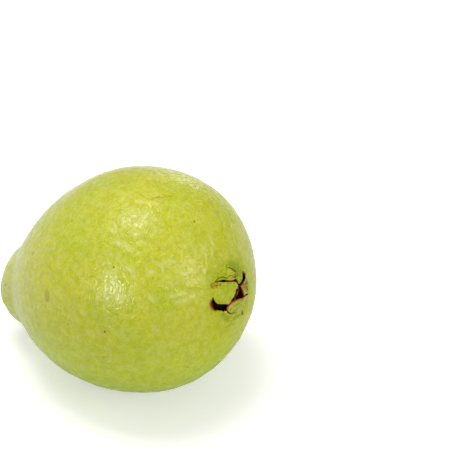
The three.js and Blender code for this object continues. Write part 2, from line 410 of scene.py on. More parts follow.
def skin_grid():
    """x and angle of every point of the skin's grid. Rows near the crown follow its outline."""
    x_rows = row_stations()
    angle = np.linspace(0, 2 * np.pi, COLUMNS, endpoint=False)
    rim_rise = centre_height(BLOSSOM_LENGTH - RIM_SETBACK) - centre_height(BLOSSOM_LENGTH)
    rim = BASIN - np.array([0, rim_rise])
    bearing = np.arctan2(rim[:, 0], rim[:, 1])
    order = np.argsort(bearing)
    rim_radius = np.interp(angle, bearing[order], np.hypot(*rim.T)[order], period=2 * np.pi)
    mean = rim_radius.mean()
    table_x = np.linspace(BLOSSOM_LENGTH, 0, TABLE_POINTS)
    table_radius = section_radius(table_x)
    radius = np.where(x_rows > 0, section_radius(x_rows), BODY_RADIUS)[:, None]
    fade = 1 - smooth_step(mean, FADE_REACH, radius)
    warped = radius * (1 + (rim_radius[None] / mean - 1) * fade)
    near = np.interp(warped, table_radius, table_x)
    x = np.where(fade > 0, near, x_rows[:, None])
    return x, np.broadcast_to(angle, x.shape)


def grid_normals(points):
    along = np.gradient(points, axis=0)
    across = np.roll(points, -1, 1) - np.roll(points, 1, 1)
    normals = np.cross(across, along)
    length = np.linalg.norm(normals, axis=-1, keepdims=True)
    normals = normals / np.maximum(length, 1e-12)
    normals[0], normals[-1] = AXIS, -AXIS
    return normals


# Pale streaks where the waxy skin is creased: (half width in mm, strength, points as length along
# the fruit and angle around it in degrees, 0 on the upper side). Nearly all of the points are the
# output of a scratch program, which turned places picked by eye in the photo into places on the
# fruit. Widths and strengths are set one by one. The streaks and plates are painted highlight: pale
# colour where the creased, waxy skin catches the lamps.
PAINTED_HIGHLIGHT_STREAKS = [
    # across the middle and round the crown
    (0.50, 0.65, [(15.1, 347.5), (16.9, 347.8), (18.7, 349.2), (20.5, 351.5)]),
    (0.38, 0.80, [(12.1, 331), (14, 328), (16, 325.5)]),
    (0.38, 0.60, [(11.6, 328), (13.4, 325)]),
    (0.75, 0.60, [(14.9, 320.5), (17.4, 320.2), (19.7, 319)]),
    (0.45, 0.65, [(19.7, 319), (21.6, 317.8)]),
    (0.42, 0.65, [(20.3, 323.8), (21.5, 325)]),
    (0.38, 0.65, [(27.1, 311.5), (26.7, 315.2), (27.5, 319), (28.9, 320.2), (29.6, 317.5)]),
    (0.45, 0.65, [(27.3, 308.2), (28.2, 306.5)]),
    (0.42, 0.65, [(28.7, 303.5), (29.3, 302.2), (29.8, 304.2)]),
    (0.55, 0.50, [(30.4, 319.8), (31.1, 325.5)]),
    (0.55, 0.50, [(30.3, 313.5), (31.3, 313), (31.8, 309.8)]),
    (0.45, 0.65, [(29.2, 292.8), (30.8, 294.5), (32.4, 295.8)]),
    (0.50, 0.55, [(30, 288), (31.6, 289), (32.6, 291.2)]),
    (0.42, 0.50, [(31.5, 1.8), (32.8, 0), (33.6, 343.8)]),
    (0.42, 0.50, [(31.7, 347.2), (32.7, 343.2), (33.2, 337.8)]),
    (0.38, 0.60, [(34.4, 176), (33.8, 182.8), (33.2, 187.8)]),
    (0.38, 0.60, [(33.3, 158.2), (32.9, 166.5), (32.2, 172.8)]),
    (0.60, 0.65, [(19.3, 308.2), (20.8, 306.5), (21.6, 303)]),
    (0.38, 0.50, [(24.9, 292), (25.8, 289.2)]),
    (0.50, 0.75, [(24.8, 308.2), (25, 308.2)]),
    (0.50, 0.75, [(21.8, 355.5), (22, 355.5)]),
    (0.55, 0.60, [(26.8, 301), (27, 301)]),
    (0.45, 0.60, [(10.7, 307.5), (10.9, 307.5)]),
    # a fan of painted highlight streaks on the near side
    (0.60, 0.60, [(12.3, 301.2), (13.8, 303.8), (15.7, 305.5)]),
    (0.60, 0.55, [(13.3, 295.2), (14.8, 297.8), (16.5, 300)]),
    (0.38, 0.60, [(10.7, 288.5), (11.7, 291.2), (12.5, 293.8)]),
    (0.50, 0.60, [(14.1, 290), (15.1, 292.2), (15.9, 293.8)]),
    (0.42, 0.60, [(16.6, 297.5), (17, 294), (16.7, 290.5)]),
    (0.38, 0.60, [(17.9, 298.2), (18.4, 294), (18.5, 289)]),
    (0.38, 0.50, [(8.2, 295.5), (9.4, 298.2), (10.2, 300.2)]),
    # three broad plates of painted highlight under the brightest places
    (2.50, 0.27, [(16.8, 334.6), (19, 335.5), (21, 338.2)]),
    (1.80, 0.24, [(15.4, 302.5), (14.5, 296), (12.8, 291)]),
    (1.60, 0.24, [(15.4, 302), (16.4, 296), (16.8, 291)]),
    # a curl of painted highlight streaks on the upper side
    (0.50, 0.55, [(16.1, 334), (16.1, 337.2), (17.7, 339.8), (19.8, 339.2), (20.5, 336.5)]),
    (0.50, 0.55, [(20.5, 336.5), (19.7, 333.8), (17.9, 332.5)]),
    (0.42, 0.45, [(13, 334.2), (13.7, 337.8), (16.2, 341.5), (19.5, 343.5), (21.8, 342.8)]),
    (0.42, 0.45, [(22.8, 340.5), (23.7, 336.8), (23.3, 332.5), (21.5, 330.8)]),
    (0.50, 0.50, [(17.5, 328.8), (19.5, 329), (21.1, 331.2)]),
]


def painted_highlight_mask(points):
    """How strongly the painted highlight streaks along the waxy creases cover each point of the skin;
    noise breaks them up.
    """
    ragged = 0.5 * noise_at(points, 0.9, 15)
    broken = smooth_step(-0.6, 0.3, noise_at(points, 1.4, 16))
    total = np.zeros(points.shape[:-1])
    for half, strength, spots in PAINTED_HIGHLIGHT_STREAKS:
        line = [skin_point(np.float64(x), math.radians(angle)) for x, angle in spots]
        gap = distance_to_line(points, line) + ragged * half
        total = np.maximum(total, strength * smooth_step(1.7 * half, 0.2 * half, gap))
    return total * broken


# The crescent is the open left end of the basin: its rim, and the gentle slope at its tip.
CRESCENT_RIM = [
    (-9.1, 1.9), (-9.8, 1.2), (-10.1, 0.0), (-9.9, -0.9), (-8.6, -2.1), (-6.6, -3.0), (-4.8, -4.3),
]
CRESCENT_TIP = (-9.7, 0.1)
CRESCENT_SLOPE = 1.9
TIP_SHALLOWNESS = 0.76
LIP_HEIGHT, LIP_WIDTH = 0.10, 0.35
RIM_ROUNDING = 0.5
REST_ROUNDING = 0.25
SKIN_MOSS = 0.20
SCAR_REACH = 5.0


def crown_basin(points, places):
    """How deep the crown's basin is below each point, how high its torn lip stands, and how strongly
    painted shade darkens its walls and floor.
    """
    into = basin_depth_in(places)
    rim_gap = distance_to_line(places, CRESCENT_RIM)
    lip = LIP_HEIGHT * np.exp(-((rim_gap - LIP_WIDTH) / LIP_WIDTH) ** 2) * (into < 0.2)
    slope = np.exp(-(np.linalg.norm(places - CRESCENT_TIP, axis=-1) / CRESCENT_SLOPE) ** 4)
    floor_depth = CROWN_DEPTH * (1 - TIP_SHALLOWNESS * slope) + 0.3 * noise_at(points, 2, 12)
    basin = floor_depth * smooth_step(-0.02, RIM_ROUNDING + 1.7 * slope, into)
    return basin, lip, smooth_step(0.05, 0.3 + 0.9 * slope, basin)


def skin_mesh():
    """The whole skin with the crown's basin, the neck's dimple and the flat resting spot."""
    x, angle = skin_grid()
    points = skin_point(x, angle)
    at_crown = (BLOSSOM_POLE - points) @ AXIS < CROWN_SPAN
    places = np.where(at_crown[..., None], crown_place(points), 99.0)
    basin, lip, pit_shade = crown_basin(points, places)
    stem_gap = np.linalg.norm(np.cross(points - STEM_POLE, AXIS), axis=-1)
    bowl = np.where(x < 0, DIMPLE_DEPTH * (1 - smooth_step(1.5, DIMPLE_RADIUS + 2, stem_gap)), 0)
    raised = relief(points) + lip
    result = points + grid_normals(points) * raised[..., None] + AXIS * (bowl - basin)[..., None]
    result[..., 2] = smooth_max(result[..., 2], 0, REST_ROUNDING)
    # The pit mask paints shade, near black, on the basin's walls and floor.
    masks = {"pit_shade": pit_shade, "highlight_paint": painted_highlight_mask(points), **paint(places, result, basin, SKIN_MOSS)}
    scar = smooth_step(SCAR_REACH, 2.6, stem_gap + 0.9 * noise_at(points, 1.3, 14)) * (x < 0)
    masks["tan"] = np.maximum(masks["tan"], scar)
    return grid_mesh("guava_skin", result, masks)


# ---- Colour on the crown: strokes, each (kind, half width, depth it runs down to, line) ----
# Black strokes are partly the dried tissue's own black and partly painted shade along the gaps and
# cracks.
STROKES = [
    # the front sepal's frayed lower right edge, its pale outer edge and its upper edge
    ("pink", 0.34, 0.6, [(-5.1, -2.1), (-4.2, -2.5), (-3.2, -2.8), (-2.2, -2.6), (-1.2, -2.3)]),
    ("crimson", 0.20, 2, [(-2.6, -2.8), (-1.6, -2.5), (-0.4, -2), (0.5, -1.55), (1.2, -1.1)]),
    ("crimson", 0.20, 0.4, [(0.9, -0.9), (1.5, -0.5), (2.1, -0.7), (2.6, -0.3)]),
    ("pale", 0.06, 0.2, [(-8.1, 1.2), (-7.5, 0.15), (-6.4, -0.9), (-5.2, -1.65)]),
    ("black_and_shade", 0.10, 2, [(-5.6, 6.05), (-4.8, 5.75), (-4.2, 5.5)]),
    # the red ridge along the gap between the front and top sepals
    ("crimson", 0.30, 2, [(-1.2, 4), (0.3, 2.9), (1.4, 2.4), (2.2, 2.1), (2.7, 1.3), (3, 0.2)]),
    ("pink", 0.17, 0.3, [(-0.6, 3.8), (0.6, 3.1), (1.6, 2.75), (2.4, 2.6), (3, 1.8), (3.4, 0.9)]),
    ("pink", 0.26, 0.3, [(2.2, 4), (2.7, 3.9), (3, 3.6)]),
    ("black_and_shade", 0.20, 1, [(1.9, 3.4), (2.3, 3.15), (2.7, 3.25)]),
    # the crack between the two top sepals; its black and olive lines are painted shade in the crack
    ("crimson", 0.12, 2, [(1.7, 6.75), (2.1, 6.3), (2.7, 5.5), (3.1, 4.9)]),
    ("black_and_shade", 0.14, 2, [(3, 5.1), (3.2, 4.8), (3.5, 4.3)]),
    ("pink", 0.14, 0.3, [(2, 6.1), (2.4, 5.6), (2.9, 4.9), (3.1, 4.4)]),
    ("olive", 0.16, 1, [(1.5, 6.9), (2.1, 6.4), (2.7, 5.6), (3.2, 4.9), (3.6, 4.2)]),
    # the bottom sepal's upper edge, and the crack on its left
    ("pink", 0.26, 0.5, [(-4.3, -4.3), (-4.05, -3.5), (-3.1, -3.2), (-2, -3.15), (-1, -3.1)]),
    ("pale", 0.22, 0.3, [(-3.95, -4.4), (-3.8, -3.8), (-3, -3.5)]),
    ("crimson", 0.26, 0.5, [(-1.2, -3.05), (0.3, -3.3), (1.8, -3.75), (2.5, -4.05), (3.9, -4.85)]),
    ("pink", 0.12, 0.3, [(-0.6, -3.4), (0.9, -3.75), (2, -4.1), (3, -4.6)]),
    ("leaf", 0.40, 1, [(-3.2, -4.8), (-1.2, -4.7), (1.4, -5.1), (3.6, -5.6)]),
    ("leaf", 0.40, 1, [(-2.6, -5.8), (0.2, -6.3), (2.4, -6.2)]),
    ("leaf", 0.30, 1, [(0.6, -4.2), (1.8, -4.5), (3.2, -5.1)]),
    ("pale", 0.50, 1, [(-3, -5.5), (-1.8, -5.2), (-0.6, -5.5)]),
    ("pale", 0.34, 1, [(0.4, -5.8), (2, -5.6), (4.4, -6.1)]),
    ("leaf", 0.90, 1, [(-6.4, -4.9), (-5.6, -6), (-4.4, -7.2)]),
    ("leaf", 0.60, 1, [(-2.4, -8.3), (-0.6, -8.8), (1, -9.2)]),
    ("black_and_shade", 0.26, 2, [(-4.4, -4.8), (-4, -5.2), (-3.6, -5.7)]),
    ("olive", 0.20, 1, [(-3.6, -5.7), (-2.9, -6.2), (-2, -6.55), (-1.2, -6.8)]),
    # the back sepal: its near wall, the ridge along its top, its dry streaks and lower edge
    ("maroon", 0.24, 1, [(3.7, -0.7), (3.9, -1.6), (4.2, -2.8), (4.5, -4), (4.5, -4.8)]),
    ("pink", 0.27, 0.4, [(4.15, -0.9), (4.35, -1.8), (4.65, -2.9), (4.9, -3.9), (4.9, -4.7)]),
    ("black_and_shade", 0.30, 2, [(4.3, -0.35), (5.6, -0.42), (6.8, -0.2), (7.5, 0.2), (7.9, 0.8)]),
    ("crimson", 0.20, 2, [(3.7, -0.6), (4.6, -0.8), (5.6, -0.9)]),
    ("pink", 0.26, 0.5, [(4.4, -0.95), (5.6, -1.15), (6.8, -1.4), (8.3, -1.9)]),
    ("black_and_shade", 0.17, 1, [(5.8, -1.65), (6.8, -1.85), (7.6, -2.15), (8.2, -2.3)]),
    ("crimson", 0.14, 1, [(6.6, -1.1), (7.5, -1.4), (8.4, -1.7), (8.5, -2.1)]),
    ("olive", 0.34, 1, [(6.6, -2.4), (7.1, -3.1), (7.2, -4)]),
    ("olive", 0.16, 1, [(5.8, -2.2), (6.3, -3.2), (6.2, -4.1)]),
    ("crimson", 0.16, 1, [(4.6, -4.9), (5.4, -5.1), (6.2, -5.2)]),
    ("black_and_shade", 0.16, 1, [(6.2, -5.2), (6.9, -5.35), (7.3, -5.7)]),
    # round the gap on the back side, and the left end of the crescent
    ("pink", 0.16, 0.3, [(6.6, 2.1), (7.2, 2.2), (7.9, 1.8)]),
    ("crimson", 0.20, 1, [(7.4, 2), (8, 1.5), (8.3, 0.8), (8.2, 0.3)]),
    ("crimson", 0.12, 0.3, [(-9.5, 1.65), (-10.2, 0.9), (-10.3, 0), (-10.1, -0.9)]),
    ("maroon", 1.00, 4, [(-9.3, 1.1), (-9.3, 0.3), (-8.8, -0.9)]),
    ("crimson", 0.13, 1, [(-9.5, 1.3), (-9.95, 0.5), (-9.9, -0.4), (-9.4, -1.3)]),
    # scars and marks on the green
    ("tan", 0.80, 1, [(-7.3, 5.7), (-6.4, 5.3), (-5.4, 5), (-4.5, 4.8)]),
    ("olive", 0.14, 1, [(-7, 6.4), (-6.3, 6.1), (-5.6, 6.1)]),
    ("olive", 0.12, 1, [(-6.6, 5.6), (-6.1, 5.1), (-5.4, 4.9)]),
    ("olive", 0.22, 1, [(-5.6, 6.2), (-4.6, 6.5), (-3.6, 6.4), (-2.6, 6.1), (-1.9, 5.5), (-1.4, 5)]),
    ("olive", 0.12, 1, [(-1.2, 4.7), (-0.6, 4.9), (0.3, 4.8), (1.1, 4.4), (1.7, 3.9)]),
    ("olive", 0.55, 1, [(2.5, -8.9), (2.7, -9.6)]),
    ("black_and_shade", 0.12, 1, [(2.2, -9.5), (2.6, -10)]),
    ("tan", 0.20, 1, [(-5.8, -9.2), (-4.6, -9.6), (-3.6, -9.6)]),
]
SOFTNESS = {"leaf": 0.85, "pale": 0.45}
KINDS = ("leaf", "pale", "tan", "olive", "pink", "maroon", "crimson", "black_and_shade")


def paint(places, points, drop, moss):
    """How strongly each kind of stroke covers each point, and how green the crown is there.

    Drop is how far a point lies below the crown's surface, moss how green the piece is.
    """
    masks = {kind: np.zeros(places.shape[:-1]) for kind in (*KINDS, "moss")}
    reach = np.linalg.norm(places, axis=-1)
    masks["dry"] = smooth_step(14, 7, reach)
    near = reach < CROWN_REACH + 4
    if not near.any():
        return masks
    ragged = 0.3 * noise_at(points[near], 0.45, 21) + 0.25 * noise_at(points[near], 1.1, 22)
    broken = noise_at(points[near], 0.8, 23)
    for kind, width, deep, line in STROKES:
        gap = distance_to_line(places[near], line)
        strength = 1 - smooth_step(0.45 * width, 1.35 * width, gap + ragged * width)
        strength = strength * (1 - smooth_step(0.6 * deep, 1.3 * deep, drop[near]))
        if kind == "tan":
            strength = strength * smooth_step(-0.45, 0.05, broken)
        if kind in ("leaf", "pale"):
            strength = SOFTNESS[kind] * strength * smooth_step(-0.6, 0.1, broken)
        masks[kind][near] = np.maximum(masks[kind][near], strength)
    patches = 0.6 * noise_at(points[near], 3.2, 24) + 0.8 * noise_at(points[near], 0.8, 25)
    level = np.broadcast_to(moss, reach.shape)[near]
    green = np.clip((0.4 + level) * smooth_step(-0.4, 0.5, patches) + 0.4 * level, 0, 1)
    masks["moss"][near] = green * smooth_step(15, 5, reach[near])
    return masks


CURVE_STEPS = 14
TOP_ROWS, EDGE_ROWS, WALL_ROWS, UNDER_ROWS = 40, 5, 7, 8
EDGE_ROUNDING = 0.22
UNDERCUT = 0.15
RAGGED_EDGE = [(0.10, 0.7, 31), (0.07, 0.3, 32)]
CURLED_RIM = 0.12
CRACK_END = (1.1, 7.1)


def outward_of(curve):
    """Unit vectors that point out of a closed curve at each of its points."""
    along = np.roll(curve, -1, 0) - np.roll(curve, 1, 0)
    outward = np.stack([along[:, 1], -along[:, 0]], -1)
    outward /= np.linalg.norm(outward, axis=-1, keepdims=True)
    return outward * np.sign(((curve - curve.mean(0)) * outward).sum(-1).mean())


def ragged_sepal(outline, root):
    """The sepal's outline as a ragged curve, and how far each of its points is rooted."""
    curve = closed_curve(outline, CURVE_STEPS)
    count = len(curve)
    flags = np.zeros(len(outline))
    flags[-root:] = 1
    rooted = np.tile(np.repeat(flags, CURVE_STEPS), 3)
    rooted = np.convolve(rooted, np.ones(CURVE_STEPS) / CURVE_STEPS, "same")[count:2 * count]
    flat = np.column_stack([curve, np.zeros(count)])
    ragged = sum(height * noise_at(flat, size, seed) for height, size, seed in RAGGED_EDGE)
    return curve + outward_of(curve) * (ragged * (1 - rooted))[:, None], rooted


def plate_rows(curve, centre, outward):
    """Rows of places over a plate's top, round its edge and back underneath, with their drops."""
    rim, under = curve - outward * EDGE_ROUNDING, curve - outward * UNDERCUT
    rows = [(centre + (rim - centre) * share, 0) for share in np.linspace(0, 1, TOP_ROWS) ** 0.7]
    rows += [(curve - outward * EDGE_ROUNDING * (1 - math.sin(turn)),
              EDGE_ROUNDING * (1 - math.cos(turn)))
             for turn in np.linspace(0, np.pi / 2, EDGE_ROWS)[1:]]
    rows += [(curve - outward * UNDERCUT * share,
              EDGE_ROUNDING + (SEPAL_THICKNESS - EDGE_ROUNDING) * share)
             for share in np.linspace(0, 1, WALL_ROWS)[1:]]
    rows += [(centre + (under - centre) * share, SEPAL_THICKNESS)
             for share in np.linspace(1, 0, UNDER_ROWS)[1:]]
    places = np.stack([place for place, _ in rows])
    drop = np.stack([np.full(len(curve), float(depth)) for _, depth in rows])
    return places, drop


def sepal_mesh(name, outline, root, dome, moss):
    """A thick curved plate: free edges rounded and dried, its root dipping under the skin."""
    smooth = closed_curve(outline, CURVE_STEPS)
    curve, rooted = ragged_sepal(outline, root)
    places, drop = plate_rows(curve, smooth.mean(0), outward_of(smooth))
    base = crown_surface(places)
    into = basin_depth_in(places)
    free_gap = distance_to_line(places, curve[rooted < 0.5])
    height = relief(base) + dome * smooth_step(0, 3, into) * smooth_step(0, 2, free_gap)
    curl = np.exp(-((free_gap - 0.35) / 0.28) ** 2) * smooth_step(-0.3, 0.6, into)
    height += CURLED_RIM * curl + 0.03 - 0.10 * smooth_step(-0.1, -1.2, into)
    points = base + AXIS * (height - drop)[..., None]
    grown_over = smooth_step(1.6, 0.8, np.linalg.norm(places - CRACK_END, axis=-1))
    # The pit mask paints shade, near black, on the sepal's edge walls and underside, but not where
    # the crack has grown over.
    masks = {"pit_shade": smooth_step(0.12, 0.4, drop) * smooth_step(-0.6, 0, into) * (1 - grown_over)}
    moss = SKIN_MOSS + (moss - SKIN_MOSS) * smooth_step(-1, 1, into)
    masks.update(paint(places, points, drop, moss))
    flipped = np.cross(curve[1] - curve[0], curve[0] - smooth.mean(0)) > 0
    return grid_mesh(name + "_skin", points, masks, flipped)


# Dried shreds in the crown's hole: (half thickness, points as place on the crown and depth).
SHREDS = [
    (0.21, [(2.95, -0.2, 0.2), (2.8, -0.8, 0.25), (2.45, -1.35, 0.2), (2.3, -1.9, 0.3),
            (1.6, -2.3, 0.3), (1, -2.35, 0.4), (0.3, -2.75, 0.4), (-0.6, -2.95, 0.3)]),
    (0.12, [(3.1, -0.9, 0.8), (2.9, -1.6, 0.9), (2.5, -2.2, 0.8), (2.2, -2.9, 1.1)]),
    (0.14, [(2.1, -0.9, 0.2), (1.9, -1.4, 0.3), (2.2, -1.8, 0.4)]),
    (0.09, [(1.2, -1.3, 0.5), (1.5, -1.9, 0.4), (1.9, -2.1, 0.5)]),
    (0.09, [(0.2, -1.8, 0.4), (0.6, -2.3, 0.5), (1.3, -2.6, 0.7)]),
    (0.08, [(3.7, -2, 0.5), (3.2, -2.5, 1), (2.6, -3.3, 1.4)]),
]
STRAND_SIDES = 7
STAMENS, STAMEN_HALF = 70, 0.05
SCATTER_SEED = 5
DISC_TOP = 1.65
DISC_INSET = 0.7
DISC_ROWS, DISC_UNDER_ROWS = 34, 6
DISC_RIDGE = 0.30


def tube(line, half, seed):
    """Points and faces of a lumpy closed strand along a line, thinning at its ends."""
    line = np.array(line, float)
    knots = np.linspace(0, len(line) - 1, 6 * len(line))
    line = np.stack([np.interp(knots, range(len(line)), line[:, k]) for k in range(3)], -1)
    line += 0.10 * np.stack([noise_at(line, 0.6, seed + k) for k in range(3)], -1)
    along = np.gradient(line, axis=0)
    along /= np.linalg.norm(along, axis=-1, keepdims=True)
    across = np.cross(along, AXIS + 0.1 * SIDE)
    across /= np.linalg.norm(across, axis=-1, keepdims=True)
    over = np.cross(along, across)
    girth = half * np.sin(np.pi * np.linspace(0.06, 0.94, len(line))) ** 0.5
    girth = girth * (1 + 0.5 * noise_at(line, 0.35, seed + 4))
    turn = np.linspace(0, 2 * np.pi, STRAND_SIDES, endpoint=False)
    ring = np.cos(turn)[:, None] * across[:, None] + np.sin(turn)[:, None] * over[:, None]
    rings = line[:, None] + ring * girth[:, None, None]
    rings = np.concatenate([np.broadcast_to(line[:1, None], rings[:1].shape), rings,
                            np.broadcast_to(line[-1:, None], rings[:1].shape)])
    return pole_rows(rings), grid_faces(len(rings), STRAND_SIDES)


def stamen_lines():
    """Short dry threads, curled over the disc, at scattered places in the basin."""
    scatter = random.Random(SCATTER_SEED)
    lines = []
    while len(lines) < STAMENS:
        place = np.array([scatter.uniform(-10, 8), scatter.uniform(-7, 7)])
        if not basin_depth_in(place[None])[0] > 1.0:
            continue
        heading, length = scatter.uniform(0, 2 * math.pi), scatter.uniform(0.8, 2.0)
        step = length / 3 * np.array([math.cos(heading), math.sin(heading)])
        rise = scatter.uniform(0.1, 0.5)
        depths = [DISC_TOP + 0.2, DISC_TOP - rise, DISC_TOP - rise - 0.1, DISC_TOP - 0.2]
        lines.append([(*(place + k * step), depth) for k, depth in enumerate(depths)])
    return lines


def disc_plate():
    """Points and faces of the disc itself, with its radial ridges."""
    rim = BASIN - DISC_INSET * outward_of(BASIN)
    rows = [rim * share for share in np.linspace(0, 1, DISC_ROWS)] + [rim, rim]
    rows += [rim * share for share in np.linspace(1, 0, DISC_UNDER_ROWS)[1:]]
    places = np.stack(rows)
    bearing = np.arctan2(places[..., 0], places[..., 1])
    reach = np.linalg.norm(places, axis=-1)
    depth = DISC_TOP + DISC_RIDGE * noise_at(around(bearing, 7, reach / 3), 1, 41)
    depth += DISC_RIDGE / 2 * noise_at(np.concatenate([places, reach[..., None]], -1), 0.7, 42)
    depth[DISC_ROWS:] = DISC_TOP + 0.5
    depth[DISC_ROWS + 1:] = DISC_TOP + 1
    points = crown_surface(places) - AXIS * depth[..., None]
    return pole_rows(points), grid_faces(len(rows), len(rim))


def disc_mesh():
    """The dried floral disc with its stamen threads and torn shreds, as one mesh."""
    strands = [(half, line, 1.0) for half, line in SHREDS]
    strands += [(STAMEN_HALF, line, 0.2) for line in stamen_lines()]
    parts = [(*disc_plate(), 0.0)]
    for seed, (half, line, ruddy) in enumerate(strands):
        line = np.array(line)
        path = crown_surface(line[:, :2]) - AXIS * line[:, 2:]
        parts.append((*tube(path, half, 50 + seed), ruddy))
    points, faces, shade, start = [], [], [], 0
    for part_points, part_faces, ruddy in parts:
        faces += [tuple(start + corner for corner in face) for face in part_faces]
        points.append(part_points)
        shade.append(np.full(len(part_points), ruddy))
        start += len(part_points)
    return make_mesh("dried_disc", np.concatenate(points), faces, {"ruddy": np.concatenate(shade)})


# The stub's side from its foot to the hollow at its pith, as shares of its radius and length.
STUB_PROFILE = [
    (0.95, 0), (0.9, 0.45), (0.82, 0.7), (0.90, 0.86), (0.94, 0.93), (0.86, 0.985), (0.7, 1.0),
    (0.5, 0.98), (0.28, 0.93), (0.1, 0.91),
]


STUB_ROWS, STUB_COLUMNS = 60, 96
RIB_SWELL, RIBS_ROUND, RIB_LENGTH = 0.09, 5, 2.5
BROKEN_END = 0.16


def stub_mesh():
    """The stalk's woody stub: a ribbed peg whose broken end is split and hollowed at the pith."""
    corners = np.array([(0, 0), *STUB_PROFILE, (0, STUB_PROFILE[-1][1])])
    spread = np.linspace(1, len(corners) - 2, STUB_ROWS)
    spread = np.concatenate([[0], spread, [len(corners) - 1]])
    girth, height = (np.interp(spread, range(len(corners)), corners[:, k]) for k in range(2))
    turn = np.linspace(0, 2 * np.pi, STUB_COLUMNS, endpoint=False)
    ring = np.cos(turn)[:, None] * SIDE + np.sin(turn)[:, None] * UP
    bearing, along = np.broadcast_arrays(turn, height[:, None] * STUB_LENGTH / RIB_LENGTH)
    swell = 1 + RIB_SWELL * noise_at(around(bearing, RIBS_ROUND, along), 1, 61)
    foot = STEM_POLE + AXIS * (DIMPLE_DEPTH + STUB_SEAT)
    points = foot + ring[None] * (STUB_RADIUS * girth[:, None] * swell)[..., None]
    points = points - AXIS * STUB_LENGTH * height[:, None, None]
    rough = smooth_step(0.85, 1, height)[:, None] * (girth > 0)[:, None]
    points -= AXIS * (BROKEN_END * rough * noise_at(points, 0.5, 62))[..., None]
    core = smooth_step(0.6, 0.35, girth) * smooth_step(0.6, 0.8, height)
    masks = {"ruddy": np.repeat(core[:, None], STUB_COLUMNS, 1)}
    return grid_mesh("stalk_stub_wood", points, masks, flipped=True)


# ---- Materials ----


def new_material(name):
    material = bpy.data.materials.new(name)
    material.use_nodes = True
    tree = material.node_tree
    return material, tree, tree.nodes["Principled BSDF"]


def feed(tree, socket, value):
    """Gives an input what it reads: another node's output, or a number, colour or vector."""
    if isinstance(value, bpy.types.NodeSocket):
        tree.links.new(value, socket)
    elif socket.type == "RGBA":
        socket.default_value = (*value, 1)
    else:
        socket.default_value = value


def fill(tree, node, **values):
    """Feeds the node's inputs by their names, with _ for a blank."""
    for key, value in values.items():
        feed(tree, node.inputs[key.replace("_", " ")], value)


def add(tree, kind, *values, **settings):
    """A node with its settings: values for its first inputs, then attributes or inputs by name."""
    node = tree.nodes.new(kind)
    for key, value in settings.items():
        if hasattr(node, key):
            setattr(node, key, value)
        else:
            fill(tree, node, **{key: value})
    for socket, value in zip(node.inputs, values):
        feed(tree, socket, value)
    return node


def coordinates(tree):
    return add(tree, "ShaderNodeTexCoord").outputs["Object"]


def attribute(tree, name):
    return add(tree, "ShaderNodeAttribute", attribute_name=name).outputs["Fac"]


def texture_noise(tree, place, scale, detail=3.0, roughness=0.55, output="Fac"):
    """Noise whose scale is its cells per metre."""
    node = add(tree, "ShaderNodeTexNoise", place, Scale=scale, Detail=detail, Roughness=roughness)
    return node.outputs[output]


def ramp(tree, factor, low, high):
    """The factor stretched so that low becomes 0 and high becomes 1."""
    node = add(tree, "ShaderNodeMapRange", factor, low, high, interpolation_type="SMOOTHSTEP")
    return node.outputs["Result"]


def mixed(tree, factor, first, second, blend="MIX"):
    """First and second mixed; each is a colour or a colour socket."""
    node = add(tree, "ShaderNodeMix", factor, data_type="RGBA", blend_type=blend)
    for socket, value in zip(node.inputs[6:8], (first, second)):
        feed(tree, socket, value)
    return node.outputs[2]


def tinted(tree, colour, factor, first, second):
    """The colour multiplied by a tint between the first and second."""
    return mixed(tree, 1.0, colour, mixed(tree, factor, first, second), "MULTIPLY")


def math_node(tree, operation, *values):
    return add(tree, "ShaderNodeMath", *values, operation=operation).outputs[0]


def vector_node(tree, operation, *values):
    node = add(tree, "ShaderNodeVectorMath", *values, operation=operation)
    measures = operation in ("DISTANCE", "DOT_PRODUCT", "LENGTH")
    return node.outputs["Value" if measures else "Vector"]


def strongest(tree, values):
    """The greatest of several values."""
    total = None
    for value in values:
        total = value if total is None else math_node(tree, "MAXIMUM", total, value)
    return total


def bumped(tree, height, strength, distance):
    """The normal of a surface that rises and falls by the height."""
    node = add(tree, "ShaderNodeBump", Strength=strength, Distance=distance, Height=height)
    return node.outputs["Normal"]


YELLOW_GREEN = (0.65, 0.655, 0.016)
DEEP_GREEN_AND_SHADE = (0.45, 0.62, 0.006)
PALE_GREEN = (0.67, 0.68, 0.26)
PALE_EDGE = (0.64, 0.60, 0.24)
PINK = (0.62, 0.16, 0.13)
CRIMSON = (0.44, 0.065, 0.035)
MAROON = (0.21, 0.010, 0.003)
NEAR_BLACK = (0.006, 0.002, 0.003)
OLIVE = (0.20, 0.125, 0.004)
MOSS = (0.30, 0.40, 0.014)
TAN = (0.42, 0.25, 0.008)
HIGHLIGHT_COLOUR = (0.80, 0.81, 0.27)
SPECK = (0.26, 0.10, 0.03)
GRAIN_TINTS = (0.875, 0.90, 0.30), (1.11, 1.085, 1.65)
FAR_SIDE_SHADE_TINTS = (1, 1, 1), (0.92, 0.93, 0.45)
# What the masks paint on the skin, each over the ones before it. The pit mask paints shade, near
# black, in the crown's recesses.
PAINTS = [
    ("moss", MOSS), ("leaf", MOSS), ("pale", PALE_EDGE), ("tan", TAN), ("olive", OLIVE),
    ("pit_shade", NEAR_BLACK), ("pink", PINK), ("maroon", MAROON), ("crimson", CRIMSON), ("black_and_shade", NEAR_BLACK),
]

